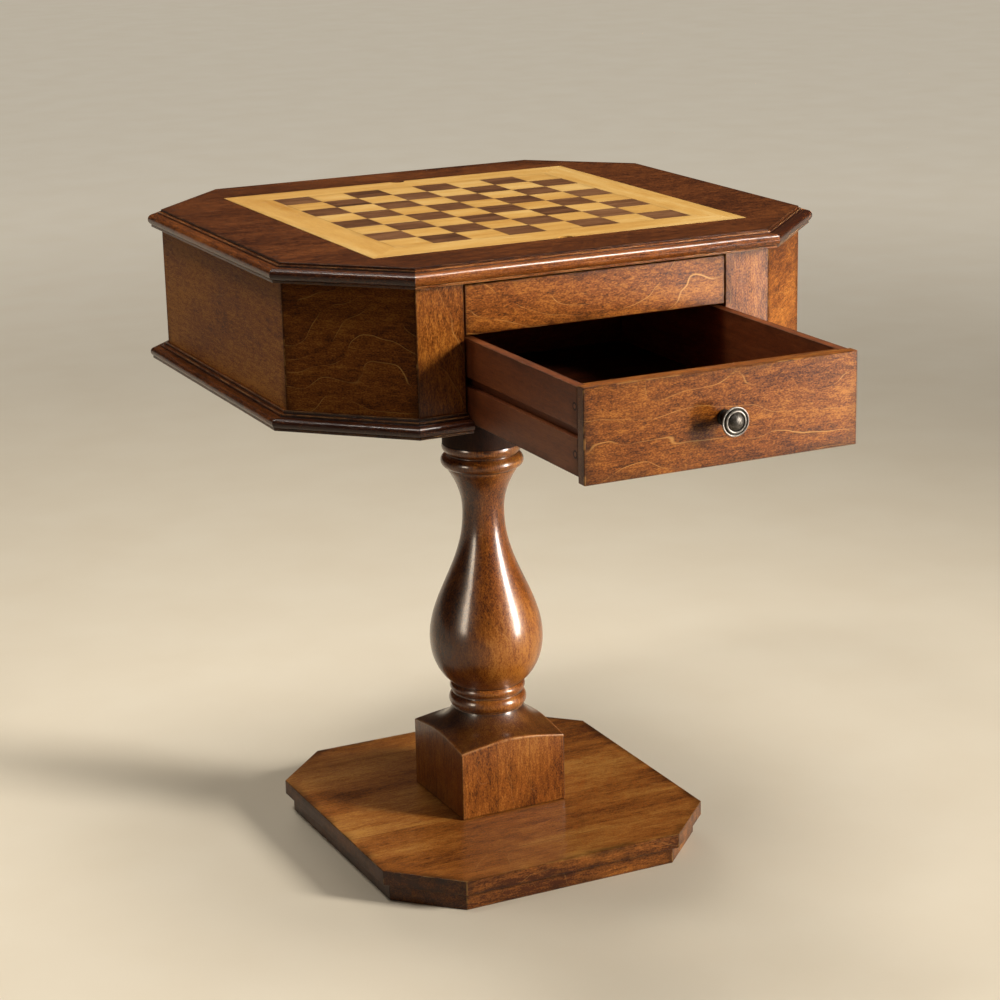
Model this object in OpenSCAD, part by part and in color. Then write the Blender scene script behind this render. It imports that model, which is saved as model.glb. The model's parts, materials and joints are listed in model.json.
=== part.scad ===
// Pedestal chess table: a clipped-corner case with one drawer and a lift-out chequered board,
// on a turned baluster pedestal and a two-layer base.
// Origin: on the floor, under the pedestal's axis. +Z is up and the drawer faces -Y.

/* [Case] */
// Height of the playing surface above the floor
table_h = 762; // [680:1:920]
// Width of the case between its left and right faces
case_w = 630; // [600:1:760]
// Depth of the case between its front and back faces
case_d = 592; // [560:1:720]
// How far each corner of the case is cut back along both sides
case_cut = 105; // [84:1:126]
// Height of the case walls
case_h = 156; // [145:1:187]
// Thickness of the case walls
wall_t = 16; // [12:0.5:19]
// Thickness of the case bottom
bottom_t = 7; // [5:0.5:9]
// Width of each front stile beside the drawer
stile_w = 54; // [40:1:66]
// Thickness of the top panel
top_t = 20; // [18:0.5:24]

/* [Mouldings] */
// How far the top edge moulding stands out from the case
nose_out = 14.5; // [12:0.5:18]
// Radius of the half round on the top edge moulding
nose_r = 6.5; // [5:0.1:7]
// Step from the top face down to the top edge moulding
nose_drop = 2.5; // [1:0.1:3]
// Height of the bottom moulding
foot_mould_h = 19; // [17:0.5:23]
// How far the bottom moulding stands out from the case
foot_mould_out = 20; // [16:0.5:24]
// Radius of the half round on the bottom moulding
foot_mould_r = 5.5; // [4.5:0.1:6]

/* [Board] */
// Side of one chess square
square = 45; // [36:0.5:46]
// Thickness of the whole lift-out board
board_t = 12; // [10:0.5:14]
// Thickness of the inlaid squares and border
inlay_t = 3.5; // [2:0.5:5]
// Radius of the finger notches in the board's front and back edges
notch_r = 9; // [6:0.5:12]
// Gap around the board in its recess
board_gap = 0.4; // [0.2:0.1:1]
// Width of the ledge that carries the board
ledge_w = 12; // [8:0.5:16]

/* [False front and well] */
// Height of the false drawer front
false_h = 53; // [45:0.5:62]
// Shadow gap between the false front and the top
false_gap = 3.5; // [2:0.5:5]
// Thickness of the well floor
well_floor_t = 8; // [5:0.5:10]
// Thickness of the felt in the well
felt_t = 1.5; // [1:0.5:3]

/* [Drawer] */
// How far the drawer stands open
drawer_open = 258; // [0:1:310]
// Longest pull of the drawer, where its back meets the stop
drawer_travel = 320; // [315:1:340]
// Free room behind the closed drawer
drawer_back_room = 96; // [60:1:110]
// Gap on each side of the drawer
drawer_gap = 2; // [1:0.5:3]
// Thickness of the drawer front outside its rebate
front_t = 13; // [10:0.5:16]
// Thickness of the drawer front's tongue between the sides
tongue_t = 11; // [9:0.5:13]
// Thickness of the drawer sides and back
drawer_side_t = 11; // [10:0.5:13]
// Thickness of the drawer bottom
drawer_bottom_t = 5; // [4:0.5:6]
// Diameter of the plugs over the drawer's joint screws
plug_d = 8.5; // [7:0.5:10]
// Height of the side runners
runner_h = 9; // [7:0.5:12]
// Depth of the runner groove in the drawer sides
groove_depth = 6; // [4:0.5:6]
// Thickness of the partitions that carry the runners
partition_t = 12; // [9:0.5:16]

/* [Knob] */
// Diameter of the knob's head
knob_d = 30.4; // [24:0.4:36]
// How far the knob stands out from the drawer front
knob_out = 27; // [23:0.5:32]
// Diameter of the knob's foot
knob_foot_d = 16; // [14:0.5:20]

/* [Pedestal] */
// Side of the square block
block_w = 130; // [108:1:156]
// Height of the block at its corners
block_h = 84; // [70:1:94]
// Greatest radius of the baluster
bulb_r = 68.3; // [58:0.1:80]
// Height of the greatest radius above the base
bulb_z = 203; // [199:1:210]
// Radius of the neck
neck_r = 25; // [21:0.5:30]
// Height of the neck above the base
neck_z = 362; // [340:1:364]
// Radius of the plain cylinder at the head of the pedestal
head_r = 47; // [44:0.5:47.5]
// How far the support board on the pedestal reaches past the drawer partitions
support_overhang = 22; // [8:1:42]
// Front-to-back size of the support board
support_d = 220; // [180:1:260]
// Thickness of the support board
support_t = 18; // [15:0.5:22]

/* [Base] */
// Width of the base plate
base_w = 420; // [350:1:504]
// Depth of the base plate
base_d = 450; // [375:1:540]
// How far each corner of the base is cut back
base_cut = 72; // [60:1:86]
// Thickness of the upper base plate
plate_t = 18; // [15:0.5:22]
// Thickness of the lower plinth
plinth_t = 22; // [18:0.5:26]
// How far the plinth is set back under the plate
plinth_inset = 9; // [6:0.5:12]

/* [Fasteners] */
// Shank diameter of the base bolts
bolt_d = 8; // [6:0.5:10]
// Distance of each base bolt from the pedestal's axis, along X and along Y
bolt_at = 38; // [32:1:44]
// Outer diameter of the base washers
washer_d = 24; // [20:0.5:28]
// Shank diameter of the lag screws in the head of the pedestal
lag_d = 6; // [5:0.5:7]
// Shank diameter of the screws through the support board
screw_d = 5; // [4:0.5:6]
// Shank diameter of the small wood screws
small_screw_d = 3; // [2.5:0.5:3.5]

/* [Hidden] */
$fn = 64;

// Sides of a clipped-corner ring, counted from the front towards the right
FRONT = 0;
RIGHT = 2;
BACK = 4;
LEFT = 6;
FRONT_RIGHT = 1;
BACK_RIGHT = 3;
BACK_LEFT = 5;
FRONT_LEFT = 7;
corner_ratio = 2 - sqrt(2);

// Heights
case_top = table_h - top_t;
case_bot = case_top - case_h;
floor_top = case_bot + bottom_t;
base_top = plinth_t + plate_t;
support_bot = case_bot - support_t;
pedestal_h = support_bot - base_top;
false_bot = case_top - false_gap - false_h;
well_bot = false_bot + well_floor_t;
board_bot = table_h - board_t;

// Drawer
opening_w = case_w - 2 * case_cut - 2 * stile_w;
support_w = opening_w + 2 * partition_t + 2 * support_overhang;
drawer_w = opening_w - 2 * drawer_gap;
closed_front_y = -case_d / 2;
side_front_y = closed_front_y + front_t;
drawer_back_y = case_d / 2 - wall_t - drawer_back_room;
front_reveal = 1.5;
front_bot = case_bot + front_reveal;
front_top = false_bot - front_reveal;
side_lift = 1;
side_bot = floor_top + side_lift;
side_top = front_top - 1.5;
tongue_back_y = side_front_y + tongue_t;
groove_z = (front_bot + front_top) / 2 + 1;
groove_gap = 0.5;
groove_h = runner_h + 2 * groove_gap;
runner_play = 1.7;
runner_w = drawer_gap + groove_depth - runner_play;
drawer_inner_w = drawer_w - 2 * drawer_side_t;
bottom_groove = 5;
bottom_z = side_bot + 6;
fit_gap = 0.2;
plug_t = 4;
plug_y = side_front_y + tongue_t / 2;
plug_heights = [side_bot + 21, side_top - 20];

// Knob and its screw
knob_z = (front_bot + front_top) / 2;
knob_screw_d = 4;
knob_bore_depth = 12;

// Board
board_w = 10 * square;
recess_w = board_w + 2 * board_gap;
well_w = board_w - 2 * ledge_w;
core_t = board_t - inlay_t;
inlay_joint = 0.1;

// Fasteners
screw_clearance = 0.15;
washer_t = 2;
bolt_head_h = 5.3;
counterbore_d = washer_d + 4;
counterbore_depth = 10;
bolt_len = 85;
lag_len = 70;
support_screw_len = 45;
runner_screw_len = 14;
joint_screw_len = 34;
runner_screw_places = [0.12, 0.5, 0.88];
support_screw_y = [-75, 0, 75];

// Corner i of a clipped rectangle, from the front left corner round to the right
function clipped_corner(i, w, d, cut) =
    let (x = w / 2, y = d / 2, k = i % 8)
    k == 0 ? [-(x - cut), -y] :
    k == 1 ? [x - cut, -y] :
    k == 2 ? [x, -(y - cut)] :
    k == 3 ? [x, y - cut] :
    k == 4 ? [x - cut, y] :
    k == 5 ? [-(x - cut), y] :
    k == 6 ? [-x, y - cut] : [-x, -(y - cut)];

// Corner i of the case outline, grown outwards by out
function case_corner(i, out) =
    clipped_corner(i, case_w + 2 * out, case_d + 2 * out, case_cut + out * corner_ratio);

// Distance of side i of the case from the table's axis
function side_distance(i) =
    i % 2 == 1 ? (case_w / 2 + case_d / 2 - case_cut) / sqrt(2) :
    i % 4 == 0 ? case_d / 2 : case_w / 2;

module clipped_plate(w, d, cut, t) {
    linear_extrude(t)
        polygon([for (i = [0:7]) clipped_corner(i, w, d, cut)]);
}

// Plan of one side of the case ring, mitred at both ends
module side_plan(i, inner, outer) {
    polygon([
        case_corner(i, inner), case_corner(i + 1, inner),
        case_corner(i + 1, outer), case_corner(i, outer)
    ]);
}

module case_wall(i) {
    translate([0, 0, case_bot])
        linear_extrude(case_h)
            side_plan(i, -wall_t, 0);
}

// The clear space between the front stiles
module drawer_opening() {
    translate([-opening_w / 2, -case_d, case_bot - 1])
        cube([opening_w, case_d, case_h + 2]);
}

// One mitred length of moulding along side i; the child is its section,
// with X pointing out of the case
module moulding(i, z, h, out) {
    bar = case_w + case_d;
    intersection() {
        translate([0, 0, z])
            linear_extrude(h)
                side_plan(i, 0, out);
        rotate([0, 0, 45 * i])
            translate([0, -side_distance(i), z])
                mirror([0, 1, 0])
                    rotate([90, 0, 90])
                        linear_extrude(bar, center = true)
                            children();
    }
}

module top_section() {
    nose_h = top_t - nose_drop;
    lip = 2;
    square([3, nose_h]);
    square([nose_out - nose_r, lip + 2 * nose_r]);
    square([nose_out - 3.5, lip + 0.5]);
    translate([nose_out - nose_r, lip + nose_r])
        circle(nose_r);
}

module top_moulding(i) {
    color("#5e2c12")
        moulding(i, case_top, top_t - nose_drop, nose_out)
            top_section();
}

module bottom_section() {
    lip = 2;
    square([3.5, foot_mould_h]);
    square([8, foot_mould_h - 3]);
    square([foot_mould_out - foot_mould_r, lip + 2 * foot_mould_r]);
    square([foot_mould_out - 2.5, lip + 0.6]);
    translate([foot_mould_out - foot_mould_r, lip + foot_mould_r])
        circle(foot_mould_r);
}

module bottom_moulding(i) {
    color("#4a2110")
        moulding(i, case_bot, foot_mould_h, foot_mould_out)
            bottom_section();
}

module top_moulding_corners() {
    for (i = [1:2:7])
        top_moulding(i);
}

module bottom_moulding_corners() {
    for (i = [1:2:7])
        bottom_moulding(i);
}

// Everything on one side of the table's middle plane
module half_space(side) {
    translate([side > 0 ? 0 : -case_w, -case_d, 0])
        cube([case_w, 2 * case_d, 2 * table_h]);
}

// The front moulding stops at each side of the drawer
module bottom_moulding_front(side) {
    color("#4a2110")
        difference() {
            bottom_moulding(FRONT);
            drawer_opening();
            half_space(-side);
        }
}

// A countersunk wood screw along +Z, its head's flat face at z = 0
module wood_screw(d, len, grow = 0) {
    head_h = d * 0.6;
    cylinder(h = head_h, r1 = d + grow, r2 = d / 2 + grow);
    cylinder(h = len + grow, r = d / 2 + grow);
}

// The hole for that screw, open over its head
module screw_hole(d, len) {
    wood_screw(d, len, screw_clearance);
    translate([0, 0, -1])
        cylinder(h = 1.01, r = d + screw_clearance);
}

// ---- Base ----

module each_base_bolt() {
    for (x = [-1, 1], y = [-1, 1])
        translate([x * bolt_at, y * bolt_at, counterbore_depth])
            children();
}

module bolt_holes(clearance) {
    each_base_bolt()
        cylinder(h = bolt_len + clearance, r = bolt_d / 2 + clearance);
}

module base_plinth() {
    color("#4f260f")
        difference() {
            clipped_plate(
                base_w - 2 * plinth_inset, base_d - 2 * plinth_inset,
                base_cut - plinth_inset * corner_ratio, plinth_t
            );
            bolt_holes(0.3);
            each_base_bolt()
                translate([0, 0, -2 * counterbore_depth])
                    cylinder(h = 2 * counterbore_depth, d = counterbore_d);
        }
}

module base_plate() {
    color("#6b3517")
        difference() {
            translate([0, 0, plinth_t])
                clipped_plate(base_w, base_d, base_cut, plate_t);
            bolt_holes(0.3);
        }
}

module base_bolts() {
    color("#8c8c8c")
        each_base_bolt() {
            translate([0, 0, -washer_t - bolt_head_h])
                cylinder(h = bolt_head_h, d = 14, $fn = 6);
            translate([0, 0, -washer_t])
                cylinder(h = bolt_len + washer_t, d = bolt_d);
        }
}

module base_washers() {
    color("#a0a0a0")
        each_base_bolt()
            translate([0, 0, -washer_t])
                difference() {
                    cylinder(h = washer_t, d = washer_d);
                    translate([0, 0, -1])
                        cylinder(h = washer_t + 2, r = bolt_d / 2 + screw_clearance);
                }
}

// ---- Pedestal ----

// Heights above the base: shoulder top, the two foot rings and the bulb's lower end
shoulder_z = block_h + 31;
ring_low_r = 10;
ring_low_z = shoulder_z + ring_low_r;
ring_mid_r = 6;
ring_mid_z = ring_low_z + ring_low_r + ring_mid_r;
bulb_end_z = ring_mid_z + ring_mid_r;
foot_ring_out = 47;
foot_waist_r = 42.5;
// Above the neck: the flare, the two cap rings and the plain head, whose lower end is the upper ring
flare_end_z = neck_z + 51;
cap_low_r = 8;
cap_low_z = flare_end_z + 2 + cap_low_r;
cap_low_out = 49.3;
cap_high_r = 9;
cap_high_z = cap_low_z + cap_low_r + cap_high_r + 1;
cap_high_out = 47.6;
cap_core_r = 42;
flare_end_r = 43;
steps = 14;

// The shoulder rises from the block's corners, at block_h, to the waist: first as a cone, for
// cone_share of its height, and then ever steeper in a cove
shoulder_r = block_w / sqrt(2);
cone_share = 0.45;
cove_power = 5;
function shoulder_point(t) =
    let (rise = cone_share * t + (1 - cone_share) * pow(t, cove_power))
    [shoulder_r + (foot_waist_r - shoulder_r) * t, block_h + (shoulder_z - block_h) * rise];

// Lower bulb: a quarter of an ellipse that runs down to the foot rings
bulb_drop = bulb_z - bulb_end_z;
bulb_core_r = 20;
bulb_sweep = 62;
function lower_bulb_point(t) =
    let (a = bulb_sweep * (1 - t))
    [
        bulb_core_r + (bulb_r - bulb_core_r) * cos(a),
        bulb_z - bulb_drop * sin(a) / sin(bulb_sweep)
    ];

// Upper bulb: a slender S from the greatest radius up to the neck
bulb_skew = 1.12;
function upper_bulb_point(t) =
    [
        neck_r + (bulb_r - neck_r) * (1 - cos(180 * pow(1 - t, bulb_skew))) / 2,
        bulb_z + (neck_z - bulb_z) * t
    ];

// Flare above the neck
function flare_point(t) =
    [
        neck_r + (flare_end_r - neck_r) * t * t,
        neck_z + (flare_end_z - neck_z) * t
    ];

module ring_bead(out, r, z) {
    translate([out - r, z])
        circle(r);
}

module pedestal_section() {
    polygon(concat(
        [[0, block_h / 2], [foot_waist_r, block_h / 2], [foot_waist_r, bulb_end_z]],
        [for (k = [0:steps]) lower_bulb_point(k / steps)],
        [for (k = [1:steps]) upper_bulb_point(k / steps)],
        [for (k = [1:steps]) flare_point(k / steps)],
        [[cap_core_r, flare_end_z + 2], [cap_core_r, cap_high_z]],
        [[head_r, cap_high_z], [head_r, pedestal_h], [0, pedestal_h]]
    ));
    ring_bead(foot_ring_out, ring_low_r, ring_low_z);
    ring_bead(foot_ring_out - 1.4, ring_mid_r, ring_mid_z);
    ring_bead(cap_low_out, cap_low_r, cap_low_z);
    ring_bead(cap_high_out, cap_high_r, cap_high_z);
}

module block_section() {
    polygon(concat(
        [[0, 0], [shoulder_r + 1, 0], [shoulder_r + 1, block_h]],
        [for (k = [0:steps]) shoulder_point(k / steps)],
        [[0, shoulder_z]]
    ));
}

module each_pedestal_screw() {
    for (a = [45:90:315])
        rotate([0, 0, a])
            translate([head_r * 0.6, 0, case_bot - 0.5])
                mirror([0, 0, 1])
                    children();
}

module pedestal() {
    color("#7a3d14")
        difference() {
            translate([0, 0, base_top]) {
                intersection() {
                    translate([-block_w / 2, -block_w / 2, 0])
                        cube([block_w, block_w, shoulder_z]);
                    rotate_extrude()
                        block_section();
                }
                rotate_extrude()
                    pedestal_section();
            }
            bolt_holes(screw_clearance);
            each_pedestal_screw()
                screw_hole(lag_d, lag_len);
        }
}

module each_support_screw() {
    x = opening_w / 2 + partition_t / 2;
    for (side = [-1, 1], y = support_screw_y)
        translate([side * x, y, support_bot + 0.5])
            children();
}

module support_board() {
    chamfer = 6;
    color("#5b3a20")
        difference() {
            translate([-support_w / 2, 0, support_bot])
                rotate([90, 0, 90])
                    linear_extrude(support_w)
                        polygon([
                            [-support_d / 2 + chamfer, 0], [support_d / 2 - chamfer, 0],
                            [support_d / 2, chamfer], [support_d / 2, support_t],
                            [-support_d / 2, support_t], [-support_d / 2, chamfer]
                        ]);
            each_pedestal_screw()
                screw_hole(lag_d, lag_len);
            each_support_screw()
                screw_hole(screw_d, support_screw_len);
        }
}

module pedestal_screws() {
    color("#8c8c8c")
        each_pedestal_screw()
            wood_screw(lag_d, lag_len);
}

module support_screws() {
    color("#8c8c8c")
        each_support_screw()
            wood_screw(screw_d, support_screw_len);
}

// ---- Case ----

module case_bottom() {
    inner = -wall_t;
    color("#5b3a20")
        difference() {
            translate([0, 0, case_bot])
                linear_extrude(bottom_t)
                    polygon([for (i = [0:7]) case_corner(i, inner)]);
            each_support_screw()
                screw_hole(screw_d, support_screw_len);
        }
}

module side_panel(i) {
    color("#6b3a1a")
        case_wall(i);
}

module corner_panel(i) {
    color("#5f2f14")
        case_wall(i);
}

module stile(side) {
    color("#7c3f16")
        difference() {
            case_wall(FRONT);
            drawer_opening();
            half_space(-side);
        }
}

module false_front() {
    side_gap = 1.5;
    color("#7c3f16")
        translate([-opening_w / 2 + side_gap, closed_front_y, false_bot])
            cube([opening_w - 2 * side_gap, wall_t, false_h]);
}

module partition(side) {
    inside_d = case_d - 2 * wall_t;
    x = side > 0 ? opening_w / 2 : -opening_w / 2 - partition_t;
    color("#8a5a35")
        difference() {
            translate([x, -inside_d / 2, floor_top])
                cube([partition_t, inside_d, false_bot - floor_top]);
            each_support_screw()
                screw_hole(screw_d, support_screw_len);
            each_runner_screw(side)
                screw_hole(small_screw_d, runner_screw_len);
        }
}

// A glue block in each inside corner of the case
module glue_blocks() {
    leg = 22;
    block_len = 60;
    color("#a97a4b")
        translate([0, 0, floor_top])
            for (i = [0:7]) {
                corner = case_corner(i, -wall_t);
                translate([corner[0], corner[1], 0])
                    linear_extrude(block_len)
                        polygon([
                            [0, 0],
                            leg * [cos(45 * i), sin(45 * i)],
                            -leg * [cos(45 * (i - 1)), sin(45 * (i - 1))]
                        ]);
            }
}

runner_front_y = -case_d / 2 + wall_t + 2;
runner_back_y = drawer_back_y;
runner_len = runner_back_y - runner_front_y;

module each_runner_screw(side) {
    for (t = runner_screw_places)
        translate([
            side * (opening_w / 2 - runner_w + 0.2),
            runner_front_y + runner_len * t,
            groove_z
        ])
            rotate([0, side * 90, 0])
                children();
}

module runner(side) {
    color("#b08a55")
        difference() {
            translate([
                side > 0 ? opening_w / 2 - runner_w : -opening_w / 2,
                runner_front_y,
                groove_z - runner_h / 2
            ])
                cube([runner_w, runner_len, runner_h]);
            each_runner_screw(side)
                screw_hole(small_screw_d, runner_screw_len);
        }
}

module runner_screws() {
    color("#8c8c8c")
        for (side = [-1, 1])
            each_runner_screw(side)
                wood_screw(small_screw_d, runner_screw_len);
}

// Cleat under the well floor that the drawer's back meets at full pull
module drawer_front_stop() {
    stop_t = 14;
    stop_w = 80;
    stop_gap = 0.5;
    back_face = drawer_back_y - drawer_side_t - drawer_travel - stop_gap;
    color("#a97a4b")
        translate([-stop_w / 2, back_face - stop_t, side_top - 10])
            cube([stop_w, stop_t, false_bot - side_top + 10]);
}

// Two blocks on the case bottom that the drawer's back meets when it is shut
module drawer_back_stops() {
    stop_t = 20;
    stop_gap = 0.5;
    color("#a97a4b")
        for (x = [-100, 80])
            translate([x, drawer_back_y + stop_gap, floor_top])
                cube([20, stop_t, 20]);
}

// ---- Well and top ----

module well_floor() {
    color("#5b3a20")
        translate([0, 0, false_bot])
            linear_extrude(well_floor_t)
                polygon([for (i = [0:7]) case_corner(i, -wall_t)]);
}

// Long well walls run the full width, short ones fit between them
module well_wall(side, long) {
    wall = (recess_w - well_w) / 2;
    h = board_bot - well_bot;
    len = long ? recess_w : well_w;
    color("#6b3517")
        rotate([0, 0, long ? 0 : 90])
            translate([-len / 2, side > 0 ? well_w / 2 : -recess_w / 2, well_bot])
                cube([len, wall, h]);
}

module well_felt() {
    edge = 0.5;
    color("#1f3b2a")
        translate([-well_w / 2 + edge, -well_w / 2 + edge, well_bot])
            cube([well_w - 2 * edge, well_w - 2 * edge, felt_t]);
}

module top_panel() {
    color("#5e2c12")
        translate([0, 0, case_top])
            difference() {
                clipped_plate(case_w, case_d, case_cut, top_t);
                translate([-recess_w / 2, -recess_w / 2, -1])
                    cube([recess_w, recess_w, top_t + 2]);
            }
}

// ---- Lift-out board ----

module finger_notches() {
    for (y = [-board_w / 2, board_w / 2])
        translate([0, y, board_bot - 1])
            cylinder(h = board_t + 2, r = notch_r);
}

module board_core() {
    color("#c59a5c")
        difference() {
            translate([-board_w / 2, -board_w / 2, board_bot])
                cube([board_w, board_w, core_t]);
            finger_notches();
        }
}

module board_border() {
    outer = board_w / 2;
    inner = 4 * square;
    color("#dcb673")
        difference() {
            for (a = [0:90:270])
                rotate([0, 0, a])
                    translate([0, 0, board_bot + core_t])
                        linear_extrude(inlay_t)
                            polygon([
                                [-outer + inlay_joint, -outer],
                                [outer - inlay_joint, -outer],
                                [inner - inlay_joint, -inner],
                                [-inner + inlay_joint, -inner]
                            ]);
            finger_notches();
        }
}

// Every second square of the field; shade 0 holds the near left square
module squares(shade) {
    side = square - inlay_joint;
    for (column = [0:7], row = [0:7])
        if ((column + row) % 2 == shade)
            translate([
                (column - 4) * square + inlay_joint / 2,
                (row - 4) * square + inlay_joint / 2,
                board_bot + core_t
            ])
                cube([side, side, inlay_t]);
}

module light_squares() {
    color("#e2bd78")
        squares(0);
}

module dark_squares() {
    color("#6d4630")
        squares(1);
}

// ---- Drawer, drawn shut and moved out by drawer_open ----

module pulled_out() {
    translate([0, -drawer_open, 0])
        children();
}

module each_joint_screw() {
    for (side = [-1, 1], z = plug_heights)
        translate([side * drawer_w / 2, plug_y, z])
            rotate([0, -side * 90, 0])
                children();
}

module knob_axis() {
    translate([0, closed_front_y, knob_z])
        rotate([90, 0, 0])
            children();
}

module drawer_front() {
    color("#7c3f16")
        pulled_out()
            difference() {
                union() {
                    translate([-drawer_w / 2, closed_front_y, front_bot])
                        cube([drawer_w, front_t, front_top - front_bot]);
                    translate([-drawer_inner_w / 2, side_front_y, side_bot])
                        cube([drawer_inner_w, tongue_t, side_top - side_bot]);
                }
                translate([-drawer_inner_w / 2, tongue_back_y - bottom_groove, bottom_z])
                    cube([drawer_inner_w, bottom_groove + 1, drawer_bottom_t]);
                each_joint_screw()
                    translate([0, 0, plug_t])
                        screw_hole(small_screw_d, joint_screw_len);
                knob_axis()
                    translate([0, 0, -tongue_t - front_t - 1])
                        cylinder(h = tongue_t + front_t + 2, d = knob_screw_d + 0.5);
            }
}

module drawer_side(side) {
    x = side > 0 ? drawer_inner_w / 2 : -drawer_w / 2;
    groove_x = side > 0 ? drawer_w / 2 - groove_depth : -drawer_w / 2 - 1;
    bottom_x = side > 0 ? drawer_inner_w / 2 - 1 : -drawer_inner_w / 2 - bottom_groove;
    len = drawer_back_y - side_front_y;
    color("#5d2a16")
        pulled_out()
            difference() {
                translate([x, side_front_y, side_bot])
                    cube([drawer_side_t, len, side_top - side_bot]);
                translate([groove_x, side_front_y - 1, groove_z - groove_h / 2])
                    cube([groove_depth + 1, len + 2, groove_h]);
                translate([bottom_x, side_front_y - 1, bottom_z])
                    cube([bottom_groove + 1, len + 2, drawer_bottom_t]);
                each_joint_screw() {
                    translate([0, 0, -1])
                        cylinder(h = plug_t + 1, r = plug_d / 2 + screw_clearance);
                    translate([0, 0, plug_t])
                        screw_hole(small_screw_d, joint_screw_len);
                }
            }
}

module drawer_back() {
    color("#5d2a16")
        pulled_out()
            translate([
                -drawer_inner_w / 2,
                drawer_back_y - drawer_side_t,
                bottom_z + drawer_bottom_t
            ])
                cube([drawer_inner_w, drawer_side_t, side_top - bottom_z - drawer_bottom_t]);
}

module drawer_bottom() {
    w = drawer_inner_w + 2 * bottom_groove - 2 * fit_gap;
    front_y = tongue_back_y - bottom_groove + fit_gap;
    color("#4a2212")
        pulled_out()
            translate([-w / 2, front_y, bottom_z])
                cube([w, drawer_back_y - front_y, drawer_bottom_t]);
}

module drawer_plugs() {
    color("#6b3517")
        pulled_out()
            each_joint_screw()
                cylinder(h = plug_t - 0.2, d = plug_d);
}

module drawer_screws() {
    color("#8c8c8c")
        pulled_out()
            each_joint_screw()
                translate([0, 0, plug_t])
                    wood_screw(small_screw_d, joint_screw_len);
}

// Half section of the knob: X is the radius, Y the distance out from the drawer front
module knob_section() {
    foot_r = knob_foot_d / 2;
    waist_r = foot_r - 2.2;
    head_r = knob_d / 2;
    rim_r = 2.2;
    head_y = knob_out - 6.5;
    dome_r = head_r * 0.47;
    dome_h = 3;
    dome_sphere = (dome_r * dome_r + dome_h * dome_h) / (2 * dome_h);
    // Foot flange
    square([foot_r, 2]);
    translate([foot_r - 1, 2])
        circle(1);
    square([foot_r - 1, 3]);
    // Waist and its flare into the back of the head
    polygon([
        [0, 0], [waist_r, 2], [waist_r - 0.6, head_y * 0.45], [waist_r, head_y * 0.7],
        [head_r - rim_r, head_y], [head_r - rim_r, head_y + 2], [0, head_y + 2]
    ]);
    // Rim, inner ring and dome
    translate([head_r - rim_r, head_y + rim_r])
        circle(rim_r);
    translate([head_r - 3 * rim_r + 0.6, head_y + 2])
        circle(1.6);
    square([dome_r, knob_out - dome_h]);
    intersection() {
        translate([0, knob_out - dome_sphere])
            circle(dome_sphere);
        translate([0, knob_out - dome_h - 1])
            square([dome_r, dome_h + 2]);
    }
}

module knob() {
    color("#4b4a46")
        pulled_out()
            knob_axis()
                difference() {
                    rotate_extrude()
                        intersection() {
                            knob_section();
                            square([knob_d, knob_out]);
                        }
                    translate([0, 0, -1])
                        cylinder(h = knob_bore_depth + 1, r = knob_screw_d / 2 + screw_clearance);
                }
}

module knob_screw() {
    head_d = 9;
    head_h = 2.4;
    grip = front_t + tongue_t;
    color("#8c8c8c")
        pulled_out()
            knob_axis() {
                translate([0, 0, -grip - head_h])
                    cylinder(h = head_h, d = head_d);
                translate([0, 0, -grip])
                    cylinder(h = grip + knob_bore_depth - 2, d = knob_screw_d);
            }
}

base_plinth();
base_plate();
base_bolts();
base_washers();
pedestal();
support_board();
pedestal_screws();
support_screws();
case_bottom();
side_panel(LEFT);  // side_panel_left
side_panel(RIGHT);  // side_panel_right
side_panel(BACK);  // back_panel
corner_panel(FRONT_LEFT);  // corner_panel_front_left
corner_panel(FRONT_RIGHT);  // corner_panel_front_right
corner_panel(BACK_LEFT);  // corner_panel_back_left
corner_panel(BACK_RIGHT);  // corner_panel_back_right
stile(-1);  // stile_left
stile(1);  // stile_right
false_front();
partition(-1);  // partition_left
partition(1);  // partition_right
glue_blocks();
runner(-1);  // runner_left
runner(1);  // runner_right
runner_screws();
drawer_front_stop();
drawer_back_stops();
well_floor();
well_wall(-1, true);  // well_wall_front
well_wall(1, true);  // well_wall_back
well_wall(1, false);  // well_wall_left
well_wall(-1, false);  // well_wall_right
well_felt();
top_panel();
top_moulding(FRONT);  // top_moulding_front
top_moulding(RIGHT);  // top_moulding_right
top_moulding(BACK);  // top_moulding_back
top_moulding(LEFT);  // top_moulding_left
top_moulding_corners();
bottom_moulding_front(-1);  // bottom_moulding_front_left
bottom_moulding_front(1);  // bottom_moulding_front_right
bottom_moulding(RIGHT);  // bottom_moulding_right
bottom_moulding(BACK);  // bottom_moulding_back
bottom_moulding(LEFT);  // bottom_moulding_left
bottom_moulding_corners();
board_core();
board_border();
light_squares();
dark_squares();
drawer_front();
drawer_side(-1);  // drawer_side_left
drawer_side(1);  // drawer_side_right
drawer_back();
drawer_bottom();
drawer_plugs();
drawer_screws();
knob();
knob_screw();
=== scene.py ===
"""Looks of the pedestal chess table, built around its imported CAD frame.

Boards are eased copies of their CAD nodes. Mouldings, the pedestal, the knob and the plugs are
swept or turned from named sections. Lengths are in metres.
"""

import json
import math
import random

import bmesh
import bpy
import numpy as np
from mathutils import Matrix, Vector, noise

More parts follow.
